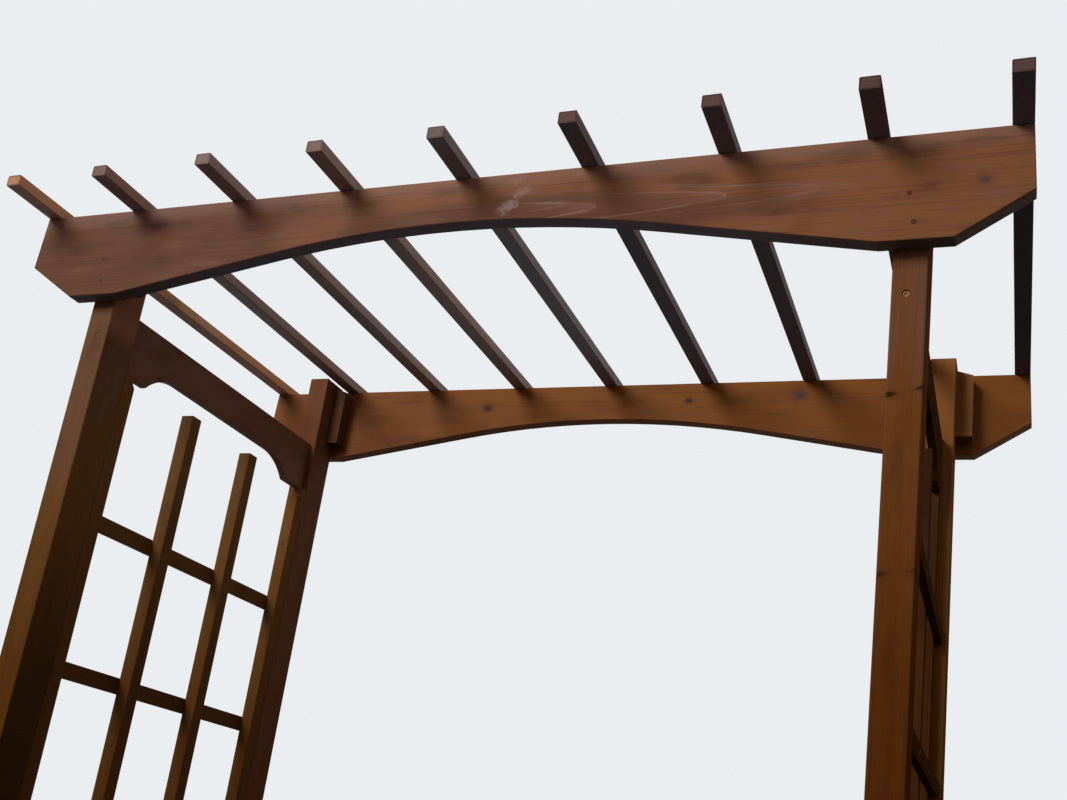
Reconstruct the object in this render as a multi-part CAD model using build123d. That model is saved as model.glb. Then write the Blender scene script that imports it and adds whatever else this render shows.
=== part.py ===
from build123d import *
import os

# A garden pergola of planed softwood, in millimetres. Four posts carry two arched
# beams, rafters lie across the beams, and a slatted trellis stands on each side
# under an arched side beam. +X runs along the beams, +Y from front to back and
# +Z up. The origin lies on the ground in the middle of the plan.

# Long beams, one in front of the front posts and one behind the back posts. The
# length is the top edge's, and the sloped ends reach past it by the rake.
BEAM_LENGTH = 2500.0
BEAM_THICKNESS = 40.0
BEAM_DEPTH = 245.0
BEAM_TOP = 2400.0
BEAM_END_DEPTH = 150.0
BEAM_END_CUT = 144.0
BEAM_END_RAKE = 5.0
BEAM_EDGE_ROUND = 3.0
FRAME_DEPTH = 1205.0

# Arch under each long beam: straight haunches that run up to a round crown
ARCH_SETBACK = 29.0
ARCH_RISE = 127.0
CROWN_WIDTH = 1000.0
CROWN_SAGITTA = 45.0

# Posts
POST_WIDTH = 70.0
POST_DEPTH = 104.0
POST_INSET = 194.0
POST_HEAD = 8.0
POST_EDGE_ROUND = 4.0

# Sunk holes in the outer faces of the posts, for the fixings into the side beams' ends
FIXING_HOLE_WIDTH = 16.0
FIXING_HOLE_DEPTH = 9.0
FIXING_EDGE_DISTANCE = 25.0
FIXING_SPACING = 81.0

# Rafters, laid flat on top of the beams; the two end ones close off the beam ends
RAFTER_COUNT = 9
RAFTER_WIDTH = 42.0
RAFTER_HEIGHT = 30.0
RAFTER_OVERHANG = 160.0
RAFTER_END_BAY = 281.0
RAFTER_EDGE_ROUND = 3.0

# Side beams, between the posts of each side
SIDE_BEAM_THICKNESS = 22.0
SIDE_BEAM_DEPTH = 164.0
SIDE_BEAM_DROP = 236.0
SIDE_BEAM_SETBACK = 18.0
SIDE_BEAM_PAD = 102.0
COVE_LENGTH = 122.0
COVE_RISE = 58.0
SIDE_BEAM_EDGE_ROUND = 2.5

# Trellis: stiles against the posts and free slats between them, with rails outside
TRELLIS_THICKNESS = 40.0
STILE_WIDTH = 42.0
STILE_CHAMFER_WIDTH = 28.0
STILE_CHAMFER_HEIGHT = 34.0
SLAT_WIDTH = 41.0
SLAT_COUNT = 2
TRELLIS_GROUND_GAP = 35.0
RAIL_THICKNESS = 20.0
RAIL_HEIGHT = 42.0
RAIL_COUNT = 4
RAIL_FIRST = 427.0
RAIL_PITCH = 392.0
TRELLIS_EDGE_ROUND = 2.5

# Cleats in the corner between each post and its beam
CLEAT_WIDTH = 44.0
CLEAT_DEPTH = 50.0
CLEAT_LENGTH = 200.0
CLEAT_DROP = 8.0
CLEAT_TOP_SLOPE = 14.0

# Places that follow from the driving dimensions
beam_half = BEAM_LENGTH / 2
beam_bottom = BEAM_TOP - BEAM_DEPTH
frame_half = FRAME_DEPTH / 2
post_outer = beam_half - POST_INSET
post_inner = post_outer - POST_WIDTH
post_front = frame_half - BEAM_THICKNESS
post_back = post_front - POST_DEPTH
side_beam_top = BEAM_TOP - SIDE_BEAM_DROP
side_beam_bottom = side_beam_top - SIDE_BEAM_DEPTH
side_beam_inner = post_inner + SIDE_BEAM_SETBACK
trellis_outer = post_inner + TRELLIS_THICKNESS

SIDES = {"left": -1, "right": 1}
ENDS = {"front": -1, "back": 1}


def save(node, solid):
    """Write one sub-part to its STEP file."""
    solid.label = node
    export_step(solid, f"parts/{node}.step")


def timber(x_range, y_range, z_range, axis, edge_round):
    """A straight piece between two corners, its edges along axis rounded."""
    (x0, x1), (y0, y1), (z0, z1) = (sorted(r) for r in (x_range, y_range, z_range))
    centre = Pos((x0 + x1) / 2, (y0 + y1) / 2, (z0 + z1) / 2)
    piece = centre * Box(x1 - x0, y1 - y0, z1 - z0)
    return fillet(piece.edges().filter_by(axis), edge_round)


def ease_faces(board, axis, edge_round):
    """Round every edge of the two faces of a board that look along axis."""
    faces = board.faces().filter_by(axis).sort_by(axis)
    return fillet(faces[0].edges() + faces[-1].edges(), edge_round)


def arched_beam(end):
    """A long beam: clipped lower corners, a flat over each post and the arch."""
    spring = post_inner - ARCH_SETBACK
    crown_end = CROWN_WIDTH / 2
    crown_z = beam_bottom + ARCH_RISE
    flat_end = beam_half - BEAM_END_CUT
    corner_x = beam_half + BEAM_END_RAKE
    corner_z = BEAM_TOP - BEAM_END_DEPTH
    haunch_z = crown_z - CROWN_SAGITTA
    outline = Polyline(
        (-crown_end, haunch_z),
        (-spring, beam_bottom),
        (-flat_end, beam_bottom),
        (-corner_x, corner_z),
        (-beam_half, BEAM_TOP),
        (beam_half, BEAM_TOP),
        (corner_x, corner_z),
        (flat_end, beam_bottom),
        (spring, beam_bottom),
        (crown_end, haunch_z),
    )
    crown = ThreePointArc((-crown_end, haunch_z), (0, crown_z), (crown_end, haunch_z))
    profile = Plane.XZ * make_face([outline, crown])
    rear_face = frame_half if end > 0 else BEAM_THICKNESS - frame_half
    beam = Pos(0, rear_face, 0) * extrude(profile, BEAM_THICKNESS)
    return ease_faces(beam, Axis.Y, BEAM_EDGE_ROUND)


def side_beam(side):
    """A short beam between two posts, with a pad at each end and coved arch."""
    pad_end = post_back - SIDE_BEAM_PAD
    cove_end = pad_end - COVE_LENGTH
    arch_z = side_beam_bottom + COVE_RISE
    body = Polyline(
        (-pad_end, side_beam_bottom),
        (-post_back, side_beam_bottom),
        (-post_back, side_beam_top),
        (post_back, side_beam_top),
        (post_back, side_beam_bottom),
        (pad_end, side_beam_bottom),
    )
    back_cove = TangentArc((cove_end, arch_z), (pad_end, side_beam_bottom), tangent=(1, 0))
    front_cove = TangentArc((-cove_end, arch_z), (-pad_end, side_beam_bottom), tangent=(-1, 0))
    underside = Line((-cove_end, arch_z), (cove_end, arch_z))
    profile = Plane.YZ * make_face([body, back_cove, underside, front_cove])
    left_face = side_beam_inner if side > 0 else -side_beam_inner - SIDE_BEAM_THICKNESS
    beam = Pos(left_face, 0, 0) * extrude(profile, SIDE_BEAM_THICKNESS)
    return ease_faces(beam, Axis.X, SIDE_BEAM_EDGE_ROUND)


def post(side, end):
    """A post from the ground to just above its beam, with two sunk fixing holes."""
    upright = timber(
        (side * post_inner, side * post_outer),
        (end * post_front, end * post_back),
        (0, BEAM_TOP + POST_HEAD),
        Axis.Z,
        POST_EDGE_ROUND,
    )
    upright = fillet(upright.edges().group_by(Axis.Z)[-1], POST_EDGE_ROUND)
    upper_hole = side_beam_top - FIXING_EDGE_DISTANCE
    middle = side * (side_beam_inner + SIDE_BEAM_THICKNESS / 2)
    for height in (upper_hole, upper_hole - FIXING_SPACING):
        mouth = Plane(origin=(middle, end * post_front, height), x_dir=(1, 0, 0), z_dir=(0, end, 0))
        upright -= mouth * extrude(Circle(FIXING_HOLE_WIDTH / 2), -FIXING_HOLE_DEPTH)
    return upright


def cleat(side, end):
    """A block beside a post, against the beam, its top sloping away from the post."""
    post_face = post_outer if side > 0 else -post_inner
    top = BEAM_TOP - CLEAT_DROP
    bottom = top - CLEAT_LENGTH
    profile = Plane.XZ * make_face(
        Polyline(
            (post_face, bottom),
            (post_face + CLEAT_WIDTH, bottom),
            (post_face + CLEAT_WIDTH, top - CLEAT_TOP_SLOPE),
            (post_face, top),
            close=True,
        )
    )
    rear_face = post_front if end > 0 else CLEAT_DEPTH - post_front
    return Pos(0, rear_face, 0) * extrude(profile, CLEAT_DEPTH)


def stile(side, end):
    """A trellis upright against a post, under the side beam, its free corner cut off."""
    upright = timber(
        (side * post_inner, side * trellis_outer),
        (end * post_back, end * (post_back - STILE_WIDTH)),
        (TRELLIS_GROUND_GAP, side_beam_bottom),
        Axis.Z,
        TRELLIS_EDGE_ROUND,
    )
    free_y = post_back - STILE_WIDTH
    corner = Plane.YZ * make_face(
        Polyline(
            (end * free_y, side_beam_bottom),
            (end * (free_y + STILE_CHAMFER_WIDTH), side_beam_bottom),
            (end * free_y, side_beam_bottom - STILE_CHAMFER_HEIGHT),
            close=True,
        )
    )
    return upright - extrude(corner, trellis_outer + TRELLIS_THICKNESS, both=True)


def slat_places():
    """Middle of each free slat: equal gaps between the two stiles."""
    free_half = post_back - STILE_WIDTH
    gap = (2 * free_half - SLAT_COUNT * SLAT_WIDTH) / (SLAT_COUNT + 1)
    return [-free_half + gap + SLAT_WIDTH / 2 + i * (gap + SLAT_WIDTH) for i in range(SLAT_COUNT)]


def slat(side, y):
    """A free upright of the trellis."""
    return timber(
        (side * post_inner, side * trellis_outer),
        (y - SLAT_WIDTH / 2, y + SLAT_WIDTH / 2),
        (TRELLIS_GROUND_GAP, side_beam_bottom),
        Axis.Z,
        TRELLIS_EDGE_ROUND,
    )


def rail(side, z):
    """A rail from post to post, outside the uprights."""
    return timber(
        (side * trellis_outer, side * (trellis_outer + RAIL_THICKNESS)),
        (-post_back, post_back),
        (z - RAIL_HEIGHT / 2, z + RAIL_HEIGHT / 2),
        Axis.Y,
        TRELLIS_EDGE_ROUND,
    )


def rafter_places():
    """Middle of each rafter: the end ones flush with the beams, the rest evenly between."""
    last = beam_half - RAFTER_WIDTH / 2
    inner_last = last - RAFTER_END_BAY
    inner_count = RAFTER_COUNT - 2
    pitch = 2 * inner_last / (inner_count - 1)
    inner = [-inner_last + i * pitch for i in range(inner_count)]
    return [-last, *inner, last]


def rafter(x):
    """A rafter lying on both beams, with an equal overhang in front and behind."""
    reach = frame_half + RAFTER_OVERHANG
    return timber(
        (x - RAFTER_WIDTH / 2, x + RAFTER_WIDTH / 2),
        (-reach, reach),
        (BEAM_TOP, BEAM_TOP + RAFTER_HEIGHT),
        Axis.Y,
        RAFTER_EDGE_ROUND,
    )


os.makedirs("parts", exist_ok=True)

for end_name, end in ENDS.items():
    save(f"beam_{end_name}", arched_beam(end))
    for side_name, side in SIDES.items():
        save(f"post_{end_name}_{side_name}", post(side, end))
        save(f"cleat_{end_name}_{side_name}", cleat(side, end))
        save(f"trellis_stile_{end_name}_{side_name}", stile(side, end))

for side_name, side in SIDES.items():
    save(f"side_beam_{side_name}", side_beam(side))
    for number, y in enumerate(slat_places(), start=1):
        save(f"trellis_slat_{side_name}_{number}", slat(side, y))
    for number in range(RAIL_COUNT):
        save(f"trellis_rail_{side_name}_{number + 1}", rail(side, RAIL_FIRST + number * RAIL_PITCH))

for number, x in enumerate(rafter_places(), start=1):
    save(f"rafter_{number}", rafter(x))
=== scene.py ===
"""Garden pergola of stained softwood: the finish of each timber, its fixings, floor, lights and camera."""
import logging
import math
import random
from dataclasses import dataclass, field
from enum import Enum
from typing import Any, Callable, Iterable

import bmesh
import bpy
from mathutils import Matrix, Vector


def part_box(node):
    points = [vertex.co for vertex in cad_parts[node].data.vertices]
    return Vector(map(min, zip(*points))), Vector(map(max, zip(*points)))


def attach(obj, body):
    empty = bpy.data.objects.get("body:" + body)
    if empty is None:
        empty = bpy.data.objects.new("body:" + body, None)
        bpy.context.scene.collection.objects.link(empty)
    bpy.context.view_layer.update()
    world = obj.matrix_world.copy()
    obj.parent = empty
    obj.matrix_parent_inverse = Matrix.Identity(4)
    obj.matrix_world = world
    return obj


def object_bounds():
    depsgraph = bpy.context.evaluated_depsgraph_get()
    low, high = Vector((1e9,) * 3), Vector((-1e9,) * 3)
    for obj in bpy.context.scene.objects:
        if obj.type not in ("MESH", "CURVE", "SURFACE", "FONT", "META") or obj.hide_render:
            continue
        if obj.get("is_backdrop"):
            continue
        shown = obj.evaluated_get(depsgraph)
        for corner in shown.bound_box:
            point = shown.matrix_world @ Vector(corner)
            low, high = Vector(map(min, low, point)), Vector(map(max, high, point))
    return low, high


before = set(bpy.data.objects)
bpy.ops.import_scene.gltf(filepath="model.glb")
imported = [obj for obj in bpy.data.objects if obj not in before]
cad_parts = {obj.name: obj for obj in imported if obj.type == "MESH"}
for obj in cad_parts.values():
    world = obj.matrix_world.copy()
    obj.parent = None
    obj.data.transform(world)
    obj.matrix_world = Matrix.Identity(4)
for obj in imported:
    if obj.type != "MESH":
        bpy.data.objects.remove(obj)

MM = 0.001
WHITE = (1.0, 1.0, 1.0)
UP = Vector((0.0, 0.0, 1.0))
BODY = "root"
CAD_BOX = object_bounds()
SIDES = {"left": -1.0, "right": 1.0}
ENDS = {"front": -1.0, "back": 1.0}

log = logging.getLogger("pergola")

Colour = tuple[float, float, float]
Span = tuple[float, float]


class ShaderGraph:
    """The node tree of one material or of the world."""

    def __init__(self, tree: bpy.types.NodeTree) -> None:
        """Start an empty tree."""
        self.tree = tree
        self.tree.nodes.clear()

    def node(self, kind: str, settings: dict[str, Any], inputs: dict[Any, Any], output: Any = 0) -> "Value":
        """Add one node.

        Args:
            kind: The node's type name.
            settings: Its properties, set first.
            inputs: Values or links, by socket identifier, name or index.
            output: The output that is wanted, given the same way.

        Returns:
            That output.
        """
        made = self.tree.nodes.new(kind)
        for name, setting in settings.items():
            setattr(made, name, setting)
        for name, item in inputs.items():
            socket = self.find(made.inputs, name)
            if isinstance(item, Value):
                self.tree.links.new(item.socket, socket)
            else:
                socket.default_value = item
        return Value(self, self.find(made.outputs, output) if made.outputs else None)

    @staticmethod
    def find(sockets: Any, name: Any) -> Any:
        """The socket with that identifier, name or index."""
        exact = [socket for socket in sockets if socket.identifier == name]
        return exact[0] if exact else sockets[name]

    def math(self, operation: str, *operands: Any) -> "Value":
        """One Math node on values and numbers."""
        return self.node("ShaderNodeMath", {"operation": operation}, dict(enumerate(operands)))

    def vector(self, x: Any, y: Any, z: Any) -> "Value":
        """A vector from three values or numbers."""
        return self.node("ShaderNodeCombineXYZ", {}, {"X": x, "Y": y, "Z": z})

    def split(self, vector: "Value") -> dict[str, "Value"]:
        """The X, Y and Z values of a vector."""
        first = self.node("ShaderNodeSeparateXYZ", {}, {"Vector": vector}, "X")
        return {axis: first.output(axis) for axis in "XYZ"}

    def noise(self, place: "Value", detail: float = 2.0, roughness: float = 0.5) -> "Value":
        """Smooth noise from 0 to 1, one lump to the unit."""
        inputs = {"Vector": place, "Scale": 1.0, "Detail": detail, "Roughness": roughness}
        return self.node("ShaderNodeTexNoise", {}, inputs, "Fac")

    def chance(self, number: "Value") -> "Value":
        """A random value from 0 to 1 for each whole number."""
        return self.node("ShaderNodeTexWhiteNoise", {"noise_dimensions": "1D"}, {"W": number}, "Value")

    def blend(self, share: Any, under: Any, over: Any, mode: str = "MIX") -> "Value":
        """Lay one colour over another.

        Args:
            share: How much of the upper colour shows.
            under: The lower colour, linked or as three numbers.
            over: The upper colour, the same way.
            mode: The Mix node's blend type.

        Returns:
            The mixed colour.
        """
        settings = {"data_type": "RGBA", "blend_type": mode, "clamp_factor": True}
        inputs = {"Factor_Float": share, "A_Color": self.opaque(under), "B_Color": self.opaque(over)}
        return self.node("ShaderNodeMix", settings, inputs, "Result_Color")

    @staticmethod
    def opaque(colour: Any) -> Any:
        """Three numbers as a full socket value; a link is passed on."""
        return colour if isinstance(colour, Value) else (*colour, 1.0)

    def shown_plainly(self) -> "Value":
        """1 for what the camera sees, straight, in a gloss or through glass; 0 for light on the part."""
        path = self.node("ShaderNodeLightPath", {}, {}, "Is Camera Ray")
        return path.greater(path.output("Is Glossy Ray")).greater(path.output("Is Transmission Ray"))

    def speckle(self, crowd: float) -> "Value":
        """Fine noise from 0 to 1 all through a small piece, with that many lumps to the metre."""
        spots = self.split(self.node("ShaderNodeTexCoord", {}, {}, "Object"))
        return self.noise(self.vector(*(spots[axis] * crowd for axis in "XYZ")), detail=3.0)

    def skin(self, shader: dict[str, Any], height: "Value", strength: float, depth: float) -> None:
        """Close the graph with a Principled shader over a bump.

        Args:
            shader: The shader's inputs, all but its normal.
            height: The bump's height.
            strength: How strongly the bump shows.
            depth: How deep it is, in metres.
        """
        bump = self.node("ShaderNodeBump", {}, {"Strength": strength, "Distance": depth, "Height": height})
        surface = self.node("ShaderNodeBsdfPrincipled", {}, {**shader, "Normal": bump})
        self.node("ShaderNodeOutputMaterial", {}, {"Surface": surface})


def operation(name: str, reflected: bool = False) -> Callable[..., "Value"]:
    """A method that adds a Math node.

    Args:
        name: The node's operation.
        reflected: Whether the other operand stands before the value.

    Returns:
        The method.
    """

    def method(value: "Value", *others: Any) -> "Value":
        """The operation on a value and the other operands."""
        row = (value, *others)
        return value.graph.math(name, *(reversed(row) if reflected else row))

    return method


class Value:
    """An output of a shader graph that takes part in Python expressions."""

    def __init__(self, graph: ShaderGraph, socket: Any) -> None:
        """Wrap one socket of the graph."""
        self.graph = graph
        self.socket = socket

    def output(self, name: str) -> "Value":
        """Another output of the same node."""
        return Value(self.graph, self.socket.node.outputs[name])

    __add__ = operation("ADD")
    __radd__ = operation("ADD", reflected=True)
    __sub__ = operation("SUBTRACT")
    __rsub__ = operation("SUBTRACT", reflected=True)
    __mul__ = operation("MULTIPLY")
    __truediv__ = operation("DIVIDE")
    __abs__ = operation("ABSOLUTE")
    root = operation("SQRT")
    floor = operation("FLOOR")
    fraction = operation("FRACT")
    lesser = operation("MINIMUM")
    greater = operation("MAXIMUM")

    def bell(self) -> "Value":
        """1 at zero, falling off smoothly on both sides."""
        return self.graph.math("EXPONENT", self * self * -1.0)

    def rise(self, low: Any, high: Any) -> "Value":
        """A smooth step from 0 at low to 1 at high."""
        inputs = {"Value": self, "From Min": low, "From Max": high, "To Min": 0.0, "To Max": 1.0}
        return self.graph.node("ShaderNodeMapRange", {"interpolation_type": "SMOOTHSTEP"}, inputs)

    def fall(self, low: Any, high: Any) -> "Value":
        """A smooth step from 1 at low to 0 at high."""
        return 1.0 - self.rise(low, high)


def new_material(name: str) -> tuple[bpy.types.Material, ShaderGraph]:
    """A fresh material and its empty graph.

    Args:
        name: The material's name.

    Returns:
        Both.
    """
    material = bpy.data.materials.new(name)
    material.use_nodes = True
    return material, ShaderGraph(material.node_tree)


def finished_mesh(name: str, shape: bmesh.types.BMesh) -> bpy.types.Mesh:
    """Turn a shape into a mesh and let go of the shape.

    Args:
        name: The mesh's name.
        shape: The shape.

    Returns:
        The mesh.
    """
    mesh = bpy.data.meshes.new(name)
    shape.to_mesh(mesh)
    shape.free()
    return mesh


def put_in_scene(name: str, data: Any) -> bpy.types.Object:
    """Put a new object into the scene, at the origin.

    Args:
        name: The object's name.
        data: Its mesh, camera or lamp.

    Returns:
        The object.
    """
    piece = bpy.data.objects.new(name, data)
    bpy.context.scene.collection.objects.link(piece)
    return piece


class Grain(Enum):
    """The axes that run along the fibres, across the shown face and through the timber."""

    BEAM = ("X", "Z", "Y")
    POST = ("Z", "X", "Y")
    RAFTER = ("Y", "X", "Z")
    SIDE_BEAM = ("Y", "Z", "X")
    UPRIGHT = ("Z", "Y", "X")


@dataclass(frozen=True)
class Stain:
    """One coat of brown stain as it came out on a piece, in linear colours.

    The body is the plain coat and warm its more orange patches. Deep is where it gathered, thin
    where it took badly, ring the latewood, and foot the painted shade that the lower part is multiplied by.
    Sawn is the end grain where it isn't as the deep stain.
    """

    body: Colour
    warm: Colour
    deep: Colour
    thin: Colour
    ring: Colour
    foot: Colour = WHITE
    sawn: Colour | None = None


class Coat(Enum):
    """The stain's shades."""

    RED = Stain(
        body=(0.124, 0.041, 0.019), warm=(0.222, 0.079, 0.027), deep=(0.080, 0.024, 0.010),
        thin=(0.190, 0.078, 0.042), ring=(0.225, 0.104, 0.072),
    )
    ORANGE = Stain(
        body=(0.200, 0.064, 0.015), warm=(0.222, 0.070, 0.010), deep=(0.122, 0.033, 0.007),
        thin=(0.235, 0.088, 0.026), ring=(0.140, 0.040, 0.009),
    )
    # A foot colour is painted shade: the lower part of the piece is multiplied by it.
    NUT = Stain(
        body=(0.158, 0.072, 0.034), warm=(0.172, 0.071, 0.015), deep=(0.096, 0.040, 0.013),
        thin=(0.200, 0.096, 0.042), ring=(0.110, 0.046, 0.014), foot=(0.58, 0.44, 0.17),
    )
    AMBER = Stain(
        body=(0.182, 0.077, 0.050), warm=(0.186, 0.066, 0.017), deep=(0.110, 0.038, 0.014),
        thin=(0.215, 0.094, 0.048), ring=(0.128, 0.046, 0.018), foot=(0.60, 0.46, 0.26),
    )
    RUSSET = Stain(
        body=(0.166, 0.062, 0.028), warm=(0.172, 0.060, 0.016), deep=(0.100, 0.034, 0.012),
        thin=(0.198, 0.084, 0.042), ring=(0.120, 0.042, 0.016), foot=(0.62, 0.50, 0.30),
    )
    # Painted light: a lighter, lit copy of a post coat; its foot is strong painted shade.
    TAN_LIT = Stain(
        body=(0.290, 0.108, 0.032), warm=(0.320, 0.112, 0.022), deep=(0.170, 0.056, 0.016),
        thin=(0.340, 0.150, 0.060), ring=(0.200, 0.070, 0.020), foot=(0.48, 0.54, 0.54),
    )
    BROWN = Stain(
        body=(0.116, 0.043, 0.017), warm=(0.132, 0.044, 0.010), deep=(0.066, 0.022, 0.008),
        thin=(0.155, 0.062, 0.027), ring=(0.080, 0.028, 0.010),
    )
    UMBER = Stain(
        body=(0.180, 0.080, 0.024), warm=(0.198, 0.080, 0.017), deep=(0.098, 0.040, 0.012),
        thin=(0.225, 0.106, 0.036), ring=(0.116, 0.048, 0.015), foot=(0.47, 0.39, 0.26),
    )
    # Painted shade: a darker, shaded copy for pieces in shade.
    PEAT_SHADED = Stain(
        body=(0.088, 0.036, 0.016), warm=(0.096, 0.036, 0.011), deep=(0.054, 0.020, 0.008),
        thin=(0.110, 0.048, 0.022), ring=(0.062, 0.024, 0.010), foot=(0.74, 0.66, 0.50),
    )
    # Painted sunlight: a bright, sunlit copy of the rafters' coat.
    HONEY_SUNLIT = Stain(
        body=(0.700, 0.310, 0.140), warm=(0.760, 0.300, 0.090), deep=(0.280, 0.115, 0.060),
        thin=(0.740, 0.390, 0.210), ring=(0.380, 0.145, 0.056),
    )
    SKYLIT = Stain(
        body=(0.210, 0.102, 0.072), warm=(0.275, 0.112, 0.050), deep=(0.120, 0.052, 0.036),
        thin=(0.285, 0.150, 0.108), ring=(0.145, 0.064, 0.042), sawn=(0.108, 0.048, 0.032),
    )
    # Painted shade: a darker, shaded copy of the rafters' coat.
    DUSKY_SHADED = Stain(
        body=(0.108, 0.058, 0.049), warm=(0.120, 0.056, 0.038), deep=(0.074, 0.039, 0.034),
        thin=(0.150, 0.088, 0.074), ring=(0.082, 0.041, 0.033), sawn=(0.126, 0.072, 0.066),
    )


@dataclass(frozen=True)
class KnotColours:
    """The colours of a cut branch, from its heart outwards."""

    heart: Colour
    wood: Colour
    rim: Colour
    halo: Colour


class KnotKind(Enum):
    """What a cut branch looks like under the stain."""

    RED = KnotColours(
        (0.030, 0.010, 0.007), (0.062, 0.017, 0.010), (0.036, 0.011, 0.008), (0.082, 0.022, 0.010)
    )
    DARK = KnotColours(
        (0.018, 0.009, 0.007), (0.050, 0.019, 0.012), (0.022, 0.009, 0.007), (0.070, 0.021, 0.010)
    )
    BLUE = KnotColours(
        (0.056, 0.038, 0.058), (0.086, 0.050, 0.058), (0.096, 0.044, 0.036), (0.120, 0.040, 0.022)
    )
    PALE = KnotColours(
        (0.062, 0.056, 0.078), (0.120, 0.092, 0.105), (0.210, 0.140, 0.130), (0.260, 0.155, 0.130)
    )


@dataclass(frozen=True)
class Knot:
    """A branch cut across: its place along and across the face, its radius and kind.

    Oval is its length over its width. Bend is how far the fibres round it are bent, in radii along
    and across them, and sweep the share by which they are pushed out.
    """

    along: float
    across: float
    radius: float
    kind: KnotKind = KnotKind.RED
    oval: float = 1.35
    bend: Span = (4.2, 2.6)
    sweep: float = 0.80
    ragged: float = 0.4
    ragged_crowd: float = 150.0
    rings: float = 3.4

    def bow(self, along: Value, across: Value) -> Value:
        """Push the fibres out sideways round the knot.

        Args:
            along: The place along the fibres.
            across: The place across them.

        Returns:
            The place across the straight fibres that runs through that point.
        """
        length = (along - self.along) / (self.radius * self.bend[0])
        width = (across - self.across) / (self.radius * self.bend[1])
        near = (length * length + width * width).root().bell()
        return self.across + (across - self.across) * (1.0 - near * self.sweep)

    def lay(self, cut: "Cut") -> None:
        """Lay the heart, wood, rim and halo.

        Args:
            cut: The finish so far.
        """
        colours = self.kind.value
        length = (cut.along - self.along) / (self.radius * self.oval)
        width = (cut.across - self.across) / self.radius
        cloud = cut.cloud(self.ragged_crowd, self.ragged_crowd, shift=self.along)
        ragged = (cut.mottle - 0.5) * self.ragged + (cloud - 0.5) * self.ragged
        reach = (length * length + width * width).root() + ragged
        rings = (reach * self.rings).fraction().rise(0.2, 0.9)
        cut.lay(reach.fall(0.8, 2.8) * 0.50, colours.halo)
        cut.lay(reach.fall(0.62, 1.25) * 0.80, colours.wood)
        cut.lay(reach.fall(0.72, 1.0) * rings * 0.20, colours.rim)
        cut.lay(reach.fall(0.10, 0.70) * 0.80, colours.heart)
        rim = reach.rise(0.75, 1.0) * reach.fall(1.0, 1.35)
        cut.lay(rim * 0.35, colours.rim)
        cut.height = cut.height + reach.fall(0.7, 1.0) * 0.35 - rim * 0.6


@dataclass(frozen=True)
class Growth:
    """How the piece lay in its log.

    The pith's place is counted from the piece's middle, and its slopes are per metre of length.
    """

    pith_across: float
    pith_through: float
    slope_across: float = 0.0
    slope_through: float = 0.012
    ring: float = 0.0042

    @classmethod
    def drawn(cls, draw: random.Random) -> "Growth":
        """A growth drawn by chance, as in a stack of mixed boards.

        Args:
            draw: The stream of chance.

        Returns:
            The growth.
        """
        return cls(
            pith_across=draw.uniform(-0.045, 0.045),
            pith_through=draw.choice((-1, 1)) * draw.uniform(0.035, 0.095),
            slope_across=draw.uniform(-0.006, 0.006),
            slope_through=draw.uniform(-0.016, 0.016),
            ring=draw.uniform(0.0030, 0.0046),
        )


@dataclass(frozen=True)
class Flame:
    """A pale ring cut at its steepest: a narrow arch with its tip towards the end of the board.

    The line wobbles by wobble, is as thick as thin at its foot and thicker by swell at its tip.
    """

    tip_along: float
    tip_across: float
    strength: float
    spread: float = 0.0032
    length: float = 0.40
    wobble: float = 6.0 * MM
    thin: float = 1.1 * MM
    swell: float = 1.2 * MM
    line: Colour = (0.320, 0.170, 0.138)
    tongue: Colour = (0.240, 0.104, 0.086)

    def lay(self, cut: "Cut") -> None:
        """Lay the pale arch.

        Args:
            cut: The finish so far.
        """
        wave = cut.cloud(11.0, 40.0, shift=4.0)
        run = self.tip_along - cut.along
        side = cut.across - self.tip_across + (wave - 0.5) * self.wobble
        slope = side * (2.0 / self.spread)
        within = run - side * side / self.spread
        off = abs(within) / (slope * slope + 1.0).root()
        thick = self.thin + run.fall(0.0, 0.06) * self.swell
        line = off.fall(thick * 0.2, thick * 2.6) * run.fall(self.length * 0.35, self.length)
        shown = cut.wide_face * self.strength
        cut.lay(line * (0.25 + wave.rise(0.32, 0.66) * 0.55) * shown, self.line)
        tongue = within.rise(0.0, 0.012) * run.fall(0.015, 0.110)
        cut.lay(tongue * shown * 0.45, self.tongue)


@dataclass(frozen=True)
class SpikeKnot:
    """A branch cut lengthwise: a dark wavy line across a post's front, from edge to edge.

    The line wobbles by wobble, is as thick as thin in its middle and thicker by swell at its ends.
    """

    left_height: float
    right_height: float
    strength: float = 1.0
    wobble: float = 10.0 * MM
    thin: float = 0.8 * MM
    swell: float = 3.0 * MM
    crack: Colour = (0.022, 0.010, 0.007)
    halo: Colour = (0.070, 0.022, 0.010)

    def lay(self, cut: "Cut") -> None:
        """Lay the dark line and the halo round it.

        Args:
            cut: The finish so far.
        """
        spots, facing = cut.spots, cut.facing
        run = (spots["X"] - cut.low.x) / (cut.high.x - cut.low.x)
        wave = cut.graph.noise(cut.graph.vector(spots["X"] * 60.0, 3.7, spots["Z"] * 8.0), detail=2.0)
        climb = self.right_height - self.left_height
        line = self.left_height + run * run * climb + (wave - 0.5) * self.wobble
        off = abs(spots["Z"] - line)
        ends = run.fall(0.10, 0.42).greater(run.rise(0.70, 0.92) * 0.7)
        thick = self.thin + ends * self.swell
        front = facing["Y"].fall(-0.3, 0.2).greater(facing["X"].fall(-0.9, -0.5))
        shown = front * (0.16 + ends * 0.84) * self.strength
        crack = off.fall(thick * 0.7, thick * 1.7) * shown
        halo = off.fall(0.002, 0.016) * shown
        cut.lay(halo * 0.45, self.halo)
        cut.lay(crack * 0.92, self.crack)
        cut.height = cut.height - crack * 3.0 + halo * 0.6


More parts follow.
